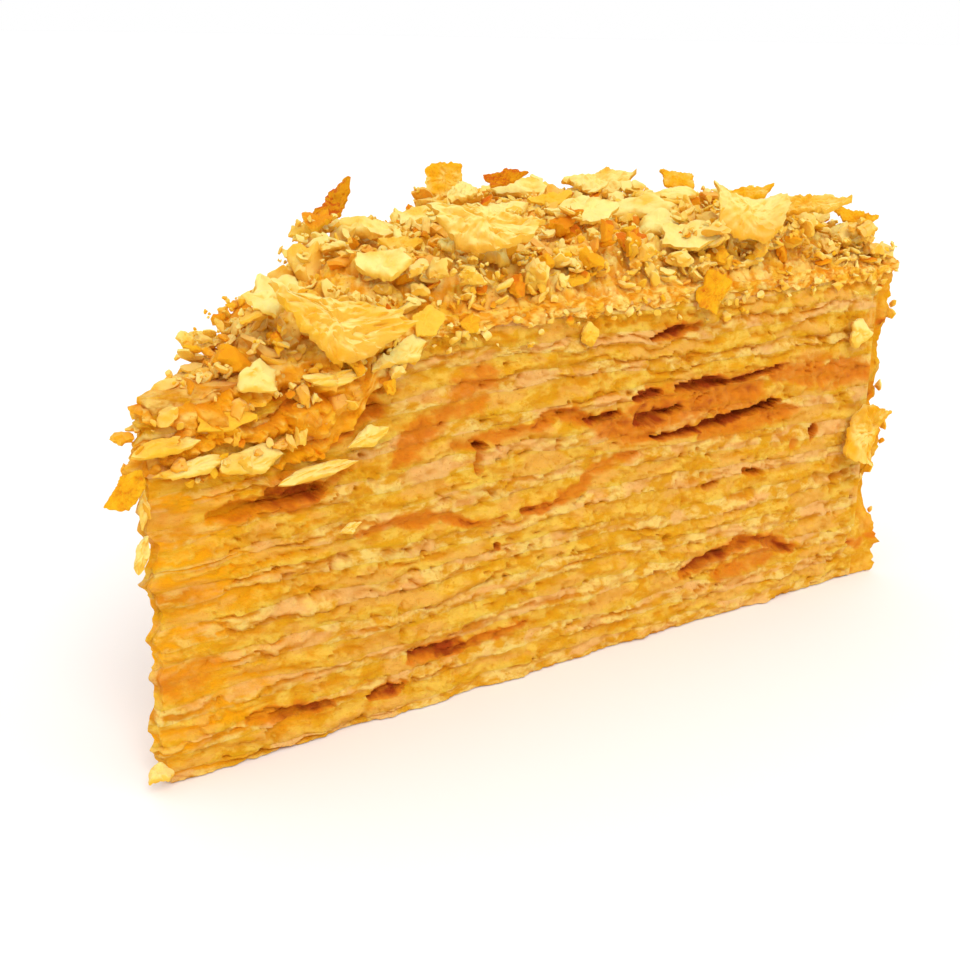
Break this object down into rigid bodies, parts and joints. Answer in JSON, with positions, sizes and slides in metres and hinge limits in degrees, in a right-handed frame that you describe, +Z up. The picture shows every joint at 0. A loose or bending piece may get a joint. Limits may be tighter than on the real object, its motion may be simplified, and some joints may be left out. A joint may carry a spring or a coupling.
{
  "type": "napoleon cake slice",
  "caption": "Wedge-shaped slice of layered napoleon cake: thin flaky pastry sheets with custard cream between them, topped with crumbs and broken flakes.",
  "frame": {"origin": "middle of the slice's box, on its underside, where the bottom sheet rests", "axes": "+X from the tip towards the rim along the middle of the wedge, +Z up"},
  "size_m": [0.1414, 0.091, 0.0693],
  "materials": {
    "pastry": "baked flaky pastry, porous and dry, pale gold with browner blistered bands",
    "cream": "soft yellow custard cream, slightly moist",
    "crumbs": "dry pastry crumbs from pale beige to toasted orange-brown",
    "rim_coat": "cream with crumbs and small flakes pressed into it",
    "pale_flake": "pale baked pastry flake, dry and slightly blistered",
    "brown_flake": "toasted orange-brown pastry flake, dry"
  },
  "bodies": {
    "root": {"sheet_01": "pastry", "sheet_02": "pastry", "sheet_03": "pastry", "sheet_04": "pastry", "sheet_05": "pastry", "sheet_06": "pastry", "sheet_07": "pastry", "sheet_08": "pastry", "sheet_09": "pastry", "sheet_10": "pastry", "sheet_11": "pastry", "sheet_12": "pastry", "cream_01": "cream", "cream_02": "cream", "cream_03": "cream", "cream_04": "cream", "cream_05": "cream", "cream_06": "cream", "cream_07": "cream", "cream_08": "cream", "cream_09": "cream", "cream_10": "cream", "cream_11": "cream", "crumb_heap": "crumbs", "rim_coat": "rim_coat", "flake_barbed": "brown_flake", "flake_upright": "pale_flake", "flake_brown": "brown_flake", "flake_slab_long": "pale_flake", "flake_slab_short": "pale_flake", "flake_lens": "pale_flake", "flake_folded": "pale_flake", "flake_yellow": "pale_flake", "flake_long": "pale_flake", "flake_rim_top": "brown_flake", "flake_front": "brown_flake", "flake_back": "pale_flake", "flake_curled": "pale_flake", "flake_tip": "brown_flake", "flake_rim": "pale_flake"}
  },
  "joints": []
}
